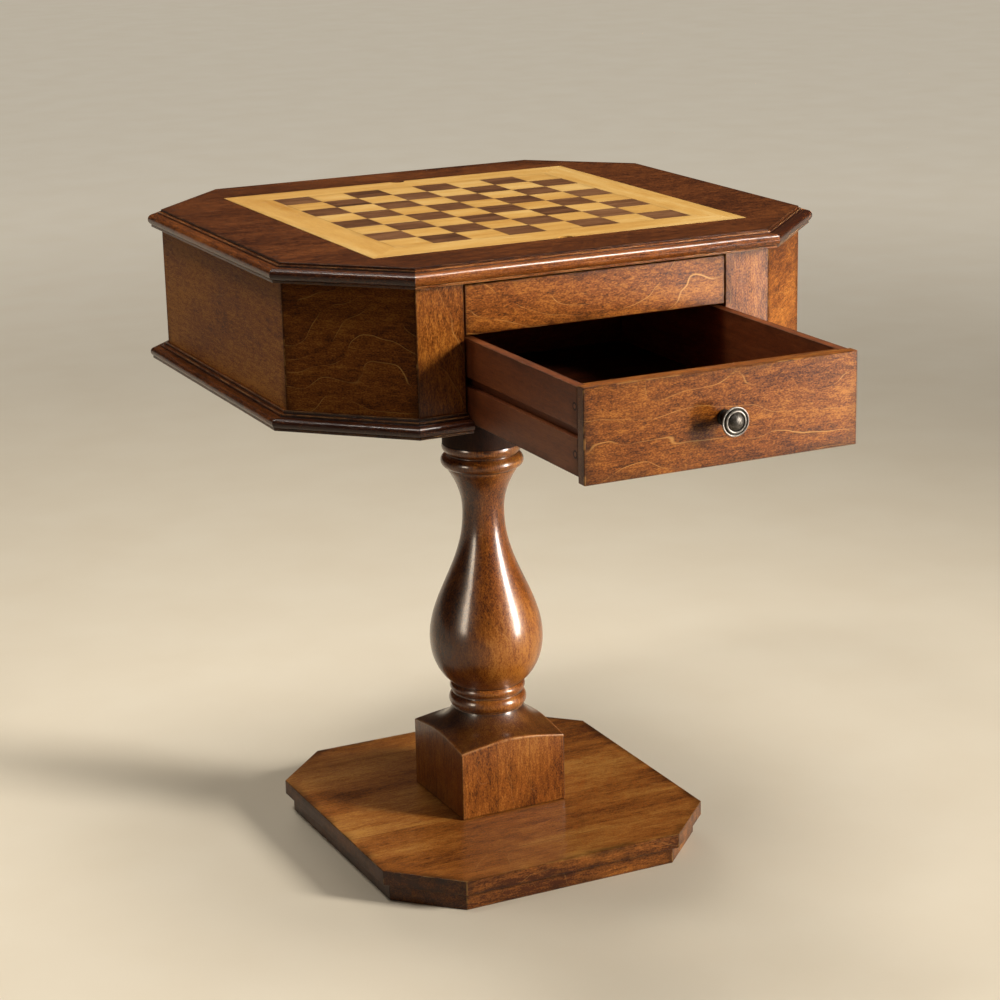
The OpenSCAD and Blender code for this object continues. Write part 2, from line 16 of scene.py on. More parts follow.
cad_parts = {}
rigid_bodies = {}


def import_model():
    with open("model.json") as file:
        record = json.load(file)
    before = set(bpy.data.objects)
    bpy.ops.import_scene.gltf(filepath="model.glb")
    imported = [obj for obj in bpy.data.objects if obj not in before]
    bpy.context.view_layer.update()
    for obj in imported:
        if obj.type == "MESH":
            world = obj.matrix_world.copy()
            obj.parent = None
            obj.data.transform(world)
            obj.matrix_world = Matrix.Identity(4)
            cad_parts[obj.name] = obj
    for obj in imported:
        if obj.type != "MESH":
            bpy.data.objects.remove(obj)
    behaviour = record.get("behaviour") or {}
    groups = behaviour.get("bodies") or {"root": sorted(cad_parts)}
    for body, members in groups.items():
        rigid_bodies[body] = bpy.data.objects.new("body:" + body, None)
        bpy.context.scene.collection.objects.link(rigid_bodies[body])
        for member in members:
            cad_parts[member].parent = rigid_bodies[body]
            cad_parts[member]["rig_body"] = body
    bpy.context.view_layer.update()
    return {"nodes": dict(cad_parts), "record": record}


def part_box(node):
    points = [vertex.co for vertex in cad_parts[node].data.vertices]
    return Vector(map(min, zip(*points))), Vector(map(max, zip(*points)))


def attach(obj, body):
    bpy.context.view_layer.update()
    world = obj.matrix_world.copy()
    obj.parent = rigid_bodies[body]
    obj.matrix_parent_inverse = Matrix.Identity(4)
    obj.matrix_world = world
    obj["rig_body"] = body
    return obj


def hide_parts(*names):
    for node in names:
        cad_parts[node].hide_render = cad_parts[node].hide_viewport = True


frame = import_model()

MM = 0.001
FAR = 9.0  # stands for "no edge here" among the grain facts
RING_RISE = 44.0  # growth rings met in a metre across a board
RING_BEND = 7.5  # how many rings a growth line wanders across on its way along the board
SLOT = {row["node"]: row["material_slot"] for row in frame["record"]["subparts"]}
scene = bpy.context.scene


# ---- Camera ----

CAMERA_AT = (-1.22291, -2.59383, 1.24673)
CAMERA_YAW = 0.44761
CAMERA_PITCH = 0.28347
CAMERA_ROLL = -0.02232
CAMERA_LENS = 90.508


def make_camera():
    data = bpy.data.cameras.new("camera")
    data.sensor_width = 36
    data.lens = CAMERA_LENS
    camera = bpy.data.objects.new("camera", data)
    turn = Matrix.Rotation(-CAMERA_YAW, 4, "Z")
    tilt = Matrix.Rotation(math.pi / 2 - CAMERA_PITCH, 4, "X")
    roll = Matrix.Rotation(CAMERA_ROLL, 4, "Z")
    camera.matrix_world = Matrix.Translation(CAMERA_AT) @ turn @ tilt @ roll
    scene.collection.objects.link(camera)
    scene.camera = camera


# ---- Material graphs ----

def srgb(code):
    """The linear colour of a #rrggbb code."""
    shares = [int(code[k:k + 2], 16) / 255 for k in (1, 3, 5)]
    linear = [s / 12.92 if s <= 0.04045 else ((s + 0.055) / 1.055) ** 2.4 for s in shares]
    return (*linear, 1.0)


def shades(codes):
    return [srgb(code) for code in codes.split()]


class Graph:
    """A material's node tree around one Principled shader, with a method for each kind of node."""

    def __init__(self, name):
        self.material = bpy.data.materials.new(name)
        self.material.use_nodes = True
        self.tree = self.material.node_tree
        self.tree.nodes.clear()
        self.shader = self.tree.nodes.new("ShaderNodeBsdfPrincipled")
        output = self.tree.nodes.new("ShaderNodeOutputMaterial")
        self.tree.links.new(self.shader.outputs[0], output.inputs[0])

    def put(self, socket, value):
        if isinstance(value, bpy.types.NodeSocket):
            self.tree.links.new(value, socket)
        else:
            socket.default_value = value

    def set(self, **values):
        """Sets the shader's sockets, named with _ for a space."""
        for name, value in values.items():
            self.put(self.shader.inputs[name.replace("_", " ")], value)

    def make(self, kind, *values, **settings):
        """A new node with these settings, and with its first inputs set to the values."""
        node = self.tree.nodes.new("ShaderNode" + kind)
        for name, setting in settings.items():
            setattr(node, name, setting)
        for socket, value in zip(node.inputs, values):
            self.put(socket, value)
        return node

    def math(self, operation, *values, clamp=False):
        return self.make("Math", *values, operation=operation, use_clamp=clamp).outputs[0]

    def times(self, first, *factors):
        for factor in factors:
            first = self.math("MULTIPLY", first, factor)
        return first

    def most(self, first, *others):
        for other in others:
            first = self.math("MAXIMUM", first, other)
        return first

    def vector(self, operation, *values):
        node = self.make("VectorMath", *values, operation=operation)
        return node.outputs["Value" if operation == "DISTANCE" else "Vector"]

    def attribute(self, name, output="Fac"):
        return self.make("Attribute", attribute_name=name).outputs[output]

    def split(self, value):
        return self.make("SeparateXYZ", value).outputs

    def join(self, x, y, z):
        return self.make("CombineXYZ", x, y, z).outputs[0]

    def noise(self, point, scale, detail=2.0, roughness=0.5, distortion=0.0):
        """Noise of scale features a metre; scale is one number, or three along the axes."""
        if not isinstance(scale, tuple):
            scale = (scale, scale, scale)
        node = self.make("TexNoise", self.vector("MULTIPLY", point, scale))
        node.inputs["Scale"].default_value = 1.0
        node.inputs["Detail"].default_value = detail
        node.inputs["Roughness"].default_value = roughness
        node.inputs["Distortion"].default_value = distortion
        return node.outputs[0]

    def cells(self, point, scale):
        """Distance to the nearest of scattered points, and a random number for each of them."""
        node = self.make("TexVoronoi", point)
        node.inputs["Scale"].default_value = scale
        return node.outputs["Distance"], self.split(node.outputs["Color"])[0]

    def smooth(self, value, low, high):
        """0 below low, 1 above high, and a soft step between them."""
        return self.make("MapRange", value, low, high, interpolation_type="SMOOTHSTEP").outputs[0]

    def fade(self, value, low, high):
        """1 below low, 0 above high, and a soft step between them."""
        return self.math("SUBTRACT", 1.0, self.smooth(value, low, high))

    def ramp(self, value, stops):
        node = self.make("ValToRGB", value)
        ramp = node.color_ramp
        while len(ramp.elements) < len(stops):
            ramp.elements.new(0.5)
        for element, (position, colour) in zip(ramp.elements, stops):
            element.position = position
            element.color = colour
        return node.outputs[0]

    def mix(self, factor, first, second):
        """The first colour at factor 0, the second at factor 1."""
        node = self.make("Mix", factor, data_type="RGBA")
        self.put(node.inputs[6], first)
        self.put(node.inputs[7], second)
        return node.outputs[2]

    def bump(self, height, depth, normal=None):
        """A normal for a relief of depth metres, on top of another normal if there is one."""
        node = self.make("Bump", 1.0, depth)
        self.put(node.inputs["Height"], height)
        if normal is not None:
            self.put(node.inputs["Normal"], normal)
        return node.outputs[0]

    def sum(self, start, *terms):
        """start plus each (value, middle, weight) term's (value - middle) * weight."""
        total = start
        for value, middle, weight in terms:
            moved = self.math("SUBTRACT", value, middle)
            total = self.math("MULTIPLY_ADD", moved, weight, total)
        return total


def edge_distance(g, point, half, cut):
    """How far a point of a board's face is from the face's nearest edge.

    The face itself is the nearest side, so the edge is at the second nearest one.
    """
    away = g.vector("ABSOLUTE", point)
    x, y, z = g.split(g.vector("SUBTRACT", half, away))
    across = g.split(away)
    reach = g.math("ADD", across[0], across[1])
    clipped = g.times(g.math("SUBTRACT", cut, reach), math.sqrt(0.5))
    low_a, high_a = g.math("MINIMUM", x, y), g.most(x, y)
    low_b, high_b = g.math("MINIMUM", clipped, z), g.most(clipped, z)
    inner = g.math("MINIMUM", high_a, high_b)
    return g.math("MINIMUM", inner, g.most(low_a, low_b))


def wood(name, stain, blotch=0.5, streak=0.4, fibre=0.2, pebble=0.5, figure=0.5, pores=0.3,
         specks=0.5, glaze=0.6, wear=0.3, outline=0.6, sides=0.0, roughness=0.38, gloss=0.35,
         coat=0.3, coat_roughness=0.12, relief=0.5):
    """Stained and lacquered wood, its grain along the X of each board's own grain_co."""
    dark, mid, light, worn = shades(stain)
    g = Graph(name)
    own = g.attribute("grain_co", "Vector")
    seed = g.attribute("grain_seed")
    rubbed = g.attribute("wear")
    plank = g.attribute("grain_plank")

    # Boards glued side by side: each samples its own stretch of the grain
    in_planks = g.math("DIVIDE", g.split(own)[1], plank)
    number = g.math("FLOOR", g.math("ADD", in_planks, 0.5))
    to_joint = g.math("ABSOLUTE", g.math("SUBTRACT", g.math("SUBTRACT", in_planks, number), 0.5))
    to_joint = g.math("MINIMUM", to_joint, g.math("SUBTRACT", 1.0, to_joint))
    to_joint = g.times(to_joint, plank)
    whole_seed = g.times(seed, 31.0)
    own_seed = g.math("MULTIPLY_ADD", number, 3.7, whole_seed)
    shift = g.vector("MULTIPLY", g.join(own_seed, own_seed, own_seed), (1.3, 0.71, 1.93))
    point = g.vector("ADD", own, shift)
    whole = g.vector("ADD", own, g.join(whole_seed, whole_seed, whole_seed))

    # Stain: broad blotches, streaks, fibres and a fine pebbly grain
    broad = g.noise(whole, (4.5, 13.0, 13.0), 3.0, 0.6, 0.5)
    streaks = g.noise(point, (6.0, 70.0, 70.0), 3.0, 0.6, 0.3)
    fibres = g.noise(point, (60.0, 700.0, 700.0), 2.0)
    pebbles = g.noise(point, (420.0, 800.0, 800.0), 2.0, 0.6)
    dashes = g.noise(point, (75.0, 300.0, 300.0), 2.5, 0.6, 0.6)
    board_tone = g.math("FRACT", g.times(own_seed, 0.617))

    # Growth rings: contours of a field that rises across the board, drawn as thin light lines
    across = g.split(point)
    rise = g.math("MULTIPLY_ADD", across[1], RING_RISE * 0.6, g.times(across[2], RING_RISE))
    field = g.noise(point, (5.0, 8.0, 8.0), 2.5, 0.45, 0.3)
    phase = g.math("FRACT", g.math("MULTIPLY_ADD", field, RING_BEND, rise))
    to_line = g.math("MINIMUM", phase, g.math("SUBTRACT", 1.0, phase))
    line = g.fade(to_line, 0.004, 0.026)
    shown = g.smooth(g.noise(point, (9.0, 26.0, 26.0), 2.5, 0.6), 0.43, 0.6)
    figured = g.times(g.attribute("grain_figure"), figure)
    line = g.times(line, shown, figured)
    ring_tone = g.times(g.math("SUBTRACT", phase, 0.5), figured)

    # Painted shade: faces that stand upright are darkened by sides, as if less light fell on them
    # than on the tops
    upward = g.split(g.make("NewGeometry").outputs["Normal"])[2]
    painted_side_shade = g.fade(g.math("ABSOLUTE", upward), 0.4, 0.9)
    tone = g.math("ADD", g.attribute("grain_tone_and_shade"), 0.5)
    tone = g.math("MULTIPLY_ADD", painted_side_shade, -sides, tone)
    tone = g.sum(
        tone, (broad, 0.5, 1.5 * blotch), (streaks, 0.5, 1.5 * streak), (fibres, 0.5, 1.2 * fibre),
        (pebbles, 0.5, 1.3 * pebble), (dashes, 0.5, 0.9 * pebble), (ring_tone, 0.0, 0.13),
        (board_tone, 0.5, 0.12),
    )
    colour = g.ramp(tone, [(0.14, dark), (0.5, mid), (0.86, light)])
    colour = g.mix(line, colour, worn)

    # Pores, and specks from the maker's distressing
    pore = g.smooth(g.noise(point, (75.0, 1000.0, 1000.0), 1.0), 0.6, 0.72)
    colour = g.mix(g.times(pore, pores), colour, dark)
    gap, chance = g.cells(g.vector("ADD", point, (0.3, 0.1, 0.7)), 55.0)
    speck = g.times(g.fade(gap, 0.03, 0.09), g.smooth(chance, 0.78, 0.81), specks)

    # Glaze: a soft shade near the edges, a dark line on them, and more in hollows and joints. The
    # hollows' darkening also paints shade.
    half = g.attribute("grain_half", "Vector")
    edge = edge_distance(g, own, half, g.attribute("grain_cut"))
    patches = g.noise(point, 26.0, 3.0, 0.6)
    ragged = g.math("MULTIPLY_ADD", g.math("SUBTRACT", patches, 0.5), -4 * MM, edge)
    dark_marks_and_painted_shade = g.times(g.fade(ragged, 0.0, 13 * MM), g.smooth(patches, 0.3, 0.75))
    # Negative wear: dark glaze in hollows and mitres, plus painted shade in creases, on the
    # pedestal's shoulder and under the case
    hollow = g.times(g.math("MINIMUM", rubbed, 0.0), -1.0)
    joint = g.fade(to_joint, 0.0, 0.7 * MM)
    drawn = g.fade(ragged, 0.7 * MM, 2.1 * MM)
    dark_marks_and_painted_shade = g.most(
        g.times(dark_marks_and_painted_shade, glaze), g.times(hollow, 0.95), g.times(drawn, outline), g.times(joint, 0.5),
        speck,
    )
    to_end = g.math("SUBTRACT", g.split(half)[0], g.math("ABSOLUTE", g.split(own)[0]))
    end_grain = g.fade(to_end, 0.2 * MM, 0.9 * MM)
    colour = g.mix(g.times(end_grain, outline), colour, dark)
    # The colour of the glaze, also used for the painted shade
    deep = tuple(0.22 * c for c in dark[:3]) + (1.0,)
    colour = g.mix(dark_marks_and_painted_shade, colour, deep)

    # Stain rubbed light on crests, and here and there on an edge. These light lines are partly real
    # wear and partly painted highlights along rounded edges.
    crest = g.most(rubbed, 0.0)
    edge_wear_and_highlight = g.smooth(g.noise(point, 44.0, 3.0, 0.65), 0.5, 0.62)
    edge_wear_and_highlight = g.times(edge_wear_and_highlight, g.fade(edge, 0.3 * MM, 1.1 * MM))
    bare = g.times(crest, g.smooth(g.noise(point, 38.0, 3.0, 0.6), 0.36, 0.6))
    bare = g.math("MULTIPLY", g.most(bare, edge_wear_and_highlight), wear, clamp=True)
    colour = g.mix(bare, colour, worn)

    # Surface: raised fibres under the lacquer and a slow ripple in it
    rough = g.sum(roughness, (pebbles, 0.5, 0.16), (broad, 0.5, 0.12), (dark_marks_and_painted_shade, 0.0, 0.15))
    ripple = g.noise(point, (14.0, 34.0, 34.0), 2.0)
    dents = g.noise(point, (120.0, 150.0, 150.0), 2.0, 0.6)
    lacquer = g.bump(ripple, 0.9 * MM * relief)
    lacquer = g.bump(dents, 0.16 * MM * relief, normal=lacquer)
    height = g.sum(
        0.0, (fibres, 0.5, 0.5), (pebbles, 0.5, 1.2), (pore, 0.0, -0.7), (speck, 0.0, -1.5),
        (line, 0.0, 0.6),
    )
    grainy = g.bump(height, 0.16 * MM * relief, normal=lacquer)
    g.set(
        Base_Color=colour, Roughness=rough, Normal=grainy, Coat_Normal=lacquer,
        Coat_Weight=coat, Coat_Roughness=coat_roughness, Specular_IOR_Level=gloss,
    )
    return g.material


def felt(name, stain):
    """Wool felt: matted short fibres with a soft nap."""
    dark, light = shades(stain)
    g = Graph(name)
    point = g.attribute("grain_co", "Vector")
    mat = g.noise(point, 900.0, 3.0, 0.7, 1.5)
    clouds = g.noise(point, 30.0, 3.0)
    tone = g.sum(0.5, (mat, 0.5, 1.1), (clouds, 0.5, 0.5))
    g.set(
        Base_Color=g.ramp(tone, [(0.2, dark), (0.8, light)]), Roughness=0.95,
        Normal=g.bump(mat, 0.3 * MM), Specular_IOR_Level=0.1,
        Sheen_Weight=0.12, Sheen_Roughness=0.5,
    )
    return g.material


def metal(name, stain, roughness, scale, dirt):
    """Plated or cast metal: mottled, darker with dirt in its hollows and brighter on rubbed edges;
    on the knob the same wear also paints shade and highlights.
    """
    deep, mid, bright = shades(stain)
    g = Graph(name)
    point = g.attribute("grain_co", "Vector")
    worn = g.attribute("wear")
    mottle = g.noise(point, scale, 4.0, 0.65)
    brushed = g.noise(point, (scale * 0.2, scale * 5, scale * 5), 2.0)
    tone = g.sum(0.5, (mottle, 0.5, 0.6), (brushed, 0.5, 0.3), (worn, 0.0, dirt))
    g.set(
        Base_Color=g.ramp(tone, [(0.1, deep), (0.5, mid), (0.95, bright)]),
        Metallic=1.0, Roughness=g.sum(roughness, (mottle, 0.5, 0.3), (worn, 0.0, -0.1)),
        Normal=g.bump(mottle, 0.05 * MM),
    )
    return g.material


# Each wood's stain in its hollows (darkened further there for glaze and painted shade), over most
# of it, on its light grain and where it is rubbed (which also paints highlights on edges), and how
# strong each part of its look is
WOODS = {
    "case_wood": dict(
        stain="#4a210b #8c4d1a #bd772f #d49b55",
        blotch=0.65, streak=0.25, pebble=1.05, figure=0.85, wear=0.5,
        roughness=0.36, coat=0.12, coat_roughness=0.25,
    ),
    "panel_wood": dict(
        stain="#4a230c #8d4f1e #b97a35 #d09a55",
        blotch=0.7, streak=0.25, pebble=1.05, figure=0.85, wear=0.5,
        roughness=0.5, gloss=0.1, coat=0.0, coat_roughness=0.3,
    ),
    "top_wood": dict(
        stain="#260e06 #522910 #75411c #9a6336",
        blotch=0.6, streak=0.3, fibre=0.5, pebble=1.25, figure=0.25, pores=0.8,
        roughness=0.42, gloss=0.2, coat=0.1, coat_roughness=0.25,
    ),
    "moulding_wood": dict(
        stain="#361506 #874a1e #b06c31 #c9935a",
        blotch=0.55, streak=0.45, pebble=0.8, figure=0.1, glaze=0.9, wear=0.6,
        roughness=0.36, gloss=0.15, coat=0.5, coat_roughness=0.2, relief=1.3,
    ),
    "pedestal_wood": dict(
        stain="#401906 #8b4c16 #b6742e #d29e66",
        blotch=0.8, streak=0.35, fibre=0.25, pebble=0.8, figure=0.15, glaze=0.95, wear=0.8,
        roughness=0.34, gloss=0.2, coat=0.7, coat_roughness=0.19, relief=0.4,
    ),
    "base_wood": dict(
        stain="#4c230c #a05e24 #c48a42 #d8a45c",
        blotch=0.8, streak=0.42, fibre=0.35, pebble=0.6, figure=0.2, glaze=0.8, sides=0.24,
        roughness=0.38, gloss=0.25, coat=0.35, coat_roughness=0.17, relief=0.35,
    ),
    "drawer_wood": dict(
        stain="#3c1b0c #743c1e #93552c #ab7446",
        blotch=0.4, streak=0.4, pebble=0.35, figure=0.1, glaze=0.5, wear=0.2,
        roughness=0.5, coat=0.05, coat_roughness=0.3,
    ),
    "inner_wood": dict(
        stain="#241008 #44230f #5c3619 #80583a",
        blotch=0.4, streak=0.6, figure=0.1, glaze=0.3, wear=0.2,
        roughness=0.6, gloss=0.1, coat=0.0, coat_roughness=0.3,
    ),
    "plain_wood": dict(
        stain="#8a6035 #b98a55 #d6ac76 #e6c594",
        blotch=0.4, streak=0.6, figure=0.3, glaze=0.15, wear=0.2, outline=0.15,
        roughness=0.6, coat=0.0, coat_roughness=0.3,
    ),
    "maple": dict(
        stain="#bf8438 #dbab5e #edca86 #f4dcac",
        blotch=0.5, streak=0.4, fibre=0.25, pebble=0.25, figure=0.12, pores=0.08, specks=0.1,
        glaze=0.2, wear=0.1, outline=0.25, roughness=0.34, coat=0.3, coat_roughness=0.16,
        relief=0.25,
    ),
    "walnut": dict(
        stain="#45281a #70482c #8f6544 #a77a55",
        blotch=0.6, streak=0.7, fibre=0.5, pebble=0.4, figure=0.1, pores=0.4, specks=0.2,
        glaze=0.25, wear=0.1, outline=0.25, roughness=0.34, coat=0.3, coat_roughness=0.16,
        relief=0.3,
    ),
}


def make_materials():
    """Each slot of the record with its finish, and the case's panels with theirs."""
    materials = {name: wood(name, **look) for name, look in WOODS.items()}
    materials["felt"] = felt("felt", "#0f3019 #26613d")
    materials["steel"] = metal("steel", "#5f6063 #a3a5a8 #d4d5d6", 0.35, 300.0, 0.2)
    materials["pewter"] = metal("pewter", "#0d0c0b #4c4843 #b5aea6", 0.48, 420.0, 0.4)
    return materials


MATERIALS = make_materials()


# ---- Meshes ----

def loose_parts(mesh):
    """The mesh's separate shells, each as an array of its points' numbers."""
    leader = list(range(len(mesh.vertices)))

    def lead(k):
        while leader[k] != k:
            leader[k] = leader[leader[k]]
            k = leader[k]
        return k

    for edge in mesh.edges:
        a, b = (lead(k) for k in edge.vertices)
        leader[a] = b
    groups = {}
    for k in range(len(leader)):
        groups.setdefault(lead(k), []).append(k)
    return [np.array(group) for group in groups.values()]


def board_axes(points, grain):
    """The board's points along its grain, across it and up, and whether its grain lies flat.

    The grain is x, y or z, or long or level: along the longest side of all, or of those in plan.
    """
    turns = []
    for angle in (0.0, math.pi / 4):
        c, s = math.cos(angle), math.sin(angle)
        x = points[:, 0] * c + points[:, 1] * s
        y = points[:, 1] * c - points[:, 0] * s
        turns.append(np.stack([x, y, points[:, 2]], 1))
    turned = min(turns, key=lambda q: np.prod(np.ptp(q[:, :2], axis=0) + MM))
    if grain in ("long", "level"):
        axes = 3 if grain == "long" else 2
        along = int(np.argmax(np.ptp(turned[:, :axes], axis=0)))
    else:
        along = "xyz".index(grain)
    order = [(0, 1, 2), (1, 0, 2), (2, 0, 1)][along]
    return turned[:, order], along < 2


def mark_grain(mesh, name, grain="long", plank=FAR, boxed=True, tone=0.0, figure=1.0):
    """Gives each shell's points what the finishes read: their place along the board's own grain,
    the board's half size and clipped corners, its plank width, how light its stain is (partly
    painted shade), how much of its figure shows, and a number of its own."""
    count = len(mesh.vertices)
    points = np.zeros(count * 3)
    mesh.vertices.foreach_get("co", points)
    points = points.reshape(-1, 3)
    place = np.zeros((count, 3))
    half = np.full((count, 3), FAR)
    cut = np.full(count, FAR)
    seed = np.zeros(count)
    chance = random.Random(name)
    for part in loose_parts(mesh):
        own, flat = board_axes(points[part], grain)
        low, high = own.min(0), own.max(0)
        own = own - (low + high) / 2
        place[part] = own
        seed[part] = chance.random()
        if boxed:
            half[part] = (high - low) / 2
            if flat:
                cut[part] = np.abs(own[:, :2]).sum(1).max()
    store(mesh, "grain_co", "FLOAT_VECTOR", place)
    store(mesh, "grain_half", "FLOAT_VECTOR", half)
    store(mesh, "grain_cut", "FLOAT", cut)
    store(mesh, "grain_seed", "FLOAT", seed)
    store(mesh, "grain_plank", "FLOAT", np.full(count, plank))
    store(mesh, "grain_tone_and_shade", "FLOAT", np.full(count, tone))
    store(mesh, "grain_figure", "FLOAT", np.full(count, figure))


def store(mesh, name, kind, values):
    attribute = mesh.attributes.new(name, kind, "POINT")
    field = "vector" if kind == "FLOAT_VECTOR" else "value"
    attribute.data.foreach_set(field, np.asarray(values, np.float32).ravel())


def finish_mesh(bm, name, **grain):
    """An object of the made mesh, smooth over its eased edges, with its grain marked."""
    bmesh.ops.recalc_face_normals(bm, faces=bm.faces)
    mesh = bpy.data.meshes.new(name)
    bm.to_mesh(mesh)
    bm.free()
    mesh.polygons.foreach_set("use_smooth", [True] * len(mesh.polygons))
    mesh.set_sharp_from_angle(angle=math.radians(50))
    mark_grain(mesh, name, **grain)
    piece = bpy.data.objects.new(name, mesh)
    scene.collection.objects.link(piece)
    flat = piece.modifiers.new("flat faces stay flat", "WEIGHTED_NORMAL")
    flat.keep_sharp = True
    return piece


def place_piece(piece, node):
    """Puts the piece where its CAD node is: on its body, in its slot, with its finish.

    The case's panels are duller than the rest of its slot.
    """
    slot = SLOT[node]
    if not piece.data.materials:
        piece.data.materials.append(MATERIALS["panel_wood" if "_panel_" in node else slot])
    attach(piece, frame["nodes"][node]["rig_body"])
    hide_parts(node)
    return piece


def eased_board(node, ease, **grain):
    """A copy of a CAD node with its long outer edges rounded over by ease."""
    bm = bmesh.new()
    bm.from_mesh(frame["nodes"][node].data)
    bmesh.ops.remove_doubles(bm, verts=bm.verts, dist=0.002 * MM)
    bmesh.ops.dissolve_limit(bm, angle_limit=math.radians(0.5), verts=bm.verts, edges=bm.edges)
    edges = [
        e for e in bm.edges
        if e.is_manifold and e.is_convex
        and e.calc_face_angle() > math.radians(30) and e.calc_length() > 5 * ease
    ]
    bmesh.ops.bevel(
        bm, geom=edges, offset=ease, segments=3, profile=0.5, affect="EDGES", clamp_overlap=True,
    )
    return place_piece(finish_mesh(bm, node + "_piece", **grain), node)


def arc(x, y, radius, start, end, steps):
    """Points of an arc, as corners that stay as they are; angles in degrees."""
    angles = [math.radians(start + (end - start) * k / steps) for k in range(steps + 1)]
    return [(x + radius * math.cos(a), y + radius * math.sin(a), 0.0) for a in angles]


def eased(corners):
    """The points of a section, as (x, y, wear).

    The section runs counter-clockwise through (x, y, ease) corners. A corner whose ease is above
    zero is rounded over that length; wear is 1 on the round of an outer corner (rubbed light,
    partly a painted highlight), -1 in an inner one (dark glaze, partly painted shade of the
    crease), and 0 elsewhere.
    """
    path = []
    for k, (x, y, ease) in enumerate(corners):
        here = Vector((x, y))
        if ease == 0:
            path.append((x, y, 0.0))
            continue
        before = Vector(corners[k - 1][:2]) - here
        after = Vector(corners[(k + 1) % len(corners)][:2]) - here
        side = 1.0 if after.cross(before) > 0 else -1.0
        back, ahead = before.normalized(), after.normalized()
        fade_back = min(3.5 * ease, 0.48 * before.length)
        fade_ahead = min(3.5 * ease, 0.48 * after.length)
        near_back, near_ahead = min(ease, fade_back * 0.6), min(ease, fade_ahead * 0.6)
        middle = here + (back * near_back + ahead * near_ahead) / 4
        for spot, wear in (
            (here + back * fade_back, 0.0),
            (here + back * near_back, 0.6 * side),
            (middle, side),
            (here + ahead * near_ahead, 0.6 * side),
            (here + ahead * fade_ahead, 0.0),
        ):
            path.append((spot.x, spot.y, wear))
    return path


class Shape:
    """A mesh in the making, whose points carry their wear: 1 rubbed bare, -1 dark with glaze. Part
    of it is painted light: highlights on rubbed edges, shade in creases and under the case.
    """

    def __init__(self):
        self.bm = bmesh.new()
        self.wear = self.bm.verts.layers.float.new("wear")

    def point(self, position, wear=0.0):
        vert = self.bm.verts.new(position)
        vert[self.wear] = wear
        return vert

    def bridge(self, rings):
        for low, high in zip(rings, rings[1:]):
            for k in range(len(low)):
                self.bm.faces.new((low[k - 1], low[k], high[k], high[k - 1]))

    def sweep(self, rings):
        """A solid bar through closed rings of (position, wear) points."""
        made = [[self.point(*spot) for spot in ring] for ring in rings]
        self.bridge(made)
        self.bm.faces.new(made[0])
        self.bm.faces.new(made[-1])

    def fan(self, ring, pole):
        for k in range(len(ring)):
            self.bm.faces.new((ring[k - 1], ring[k], pole))

    def turn(self, section, place, steps):
        """Turns (radius, height, wear) points about place's Z; both ends lie on the axis."""
        rings = []
        for radius, height, wear in section[1:-1]:
            angles = [2 * math.pi * k / steps for k in range(steps)]
            spots = [(radius * math.cos(a), radius * math.sin(a), height) for a in angles]
            rings.append([self.point(place @ Vector(spot), wear) for spot in spots])
        self.bridge(rings)
        for ring, (_, height, wear) in ((rings[0], section[0]), (rings[-1], section[-1])):
            self.fan(ring, self.point(place @ Vector((0, 0, height)), wear))


# How much lighter or darker than its finish a piece is stained. This is partly painted shade:
# the left and corner mouldings, the front moulding's left part and the drawer's bottom are darker,
# and some panels lighter or darker, to suit how the lamps fall on them.
STAIN_AND_SHADE_TONE = {
    "top_moulding_front": -0.05, "top_moulding_left": -0.24, "top_moulding_back": -0.12,
    "top_moulding_corners": -0.3, "bottom_moulding_left": -0.3, "bottom_moulding_right": -0.2,
    "bottom_moulding_back": -0.3, "bottom_moulding_corners": -0.32,
    "bottom_moulding_front_left": -0.34, "bottom_moulding_front_right": -0.2,
    "corner_panel_front_right": -0.12, "side_panel_left": 0.1, "drawer_front": 0.05,
    "drawer_bottom": -0.25,
}


# ---- Mouldings ----

FRONT, FRONT_RIGHT, RIGHT, BACK_RIGHT, BACK, BACK_LEFT, LEFT, FRONT_LEFT = range(8)

case_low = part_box("side_panel_left")[0]
case_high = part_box("back_panel")[1]
CASE_X = -case_low.x
CASE_Y = case_high.y
CASE_CUT = CASE_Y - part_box("side_panel_left")[1].y
OPENING_X = -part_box("bottom_moulding_front_left")[1].x

TOP_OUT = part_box("top_moulding_right")[1].x - CASE_X
TOP_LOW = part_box("top_moulding_right")[0].z
TOP_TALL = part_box("top_moulding_right")[1].z - TOP_LOW
TOP_ROUND = 6.5 * MM
TOP_STEP = 3.0 * MM

FOOT_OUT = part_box("bottom_moulding_right")[1].x - CASE_X
FOOT_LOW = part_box("bottom_moulding_right")[0].z
FOOT_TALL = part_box("bottom_moulding_right")[1].z - FOOT_LOW
FOOT_ROUND = 5.5 * MM
FOOT_STEP = 3.5 * MM
LIP = 2.0 * MM
LIP_EASE = 0.35 * MM
SLICE = 7.0 * MM  # length of the pieces that a moulding's hand-made waver is drawn in
WOBBLE = 0.1 * MM  # and how far it wavers
WOBBLE_SEED = 1
GLAZED = -0.8  # wear of a mitre or a hollow that holds dark glaze


def case_corner(k, out):
    """Corner k of the case's outline grown outwards by out, counted from the front's left end."""
    x, y = CASE_X + out, CASE_Y + out
    cut = CASE_CUT + out * (2 - math.sqrt(2))
    corners = [
        (cut - x, -y), (x - cut, -y), (x, cut - y), (x, y - cut),
        (x - cut, y), (cut - x, y), (-x, y - cut), (-x, cut - y),
    ]
    return Vector(corners[k % 8])


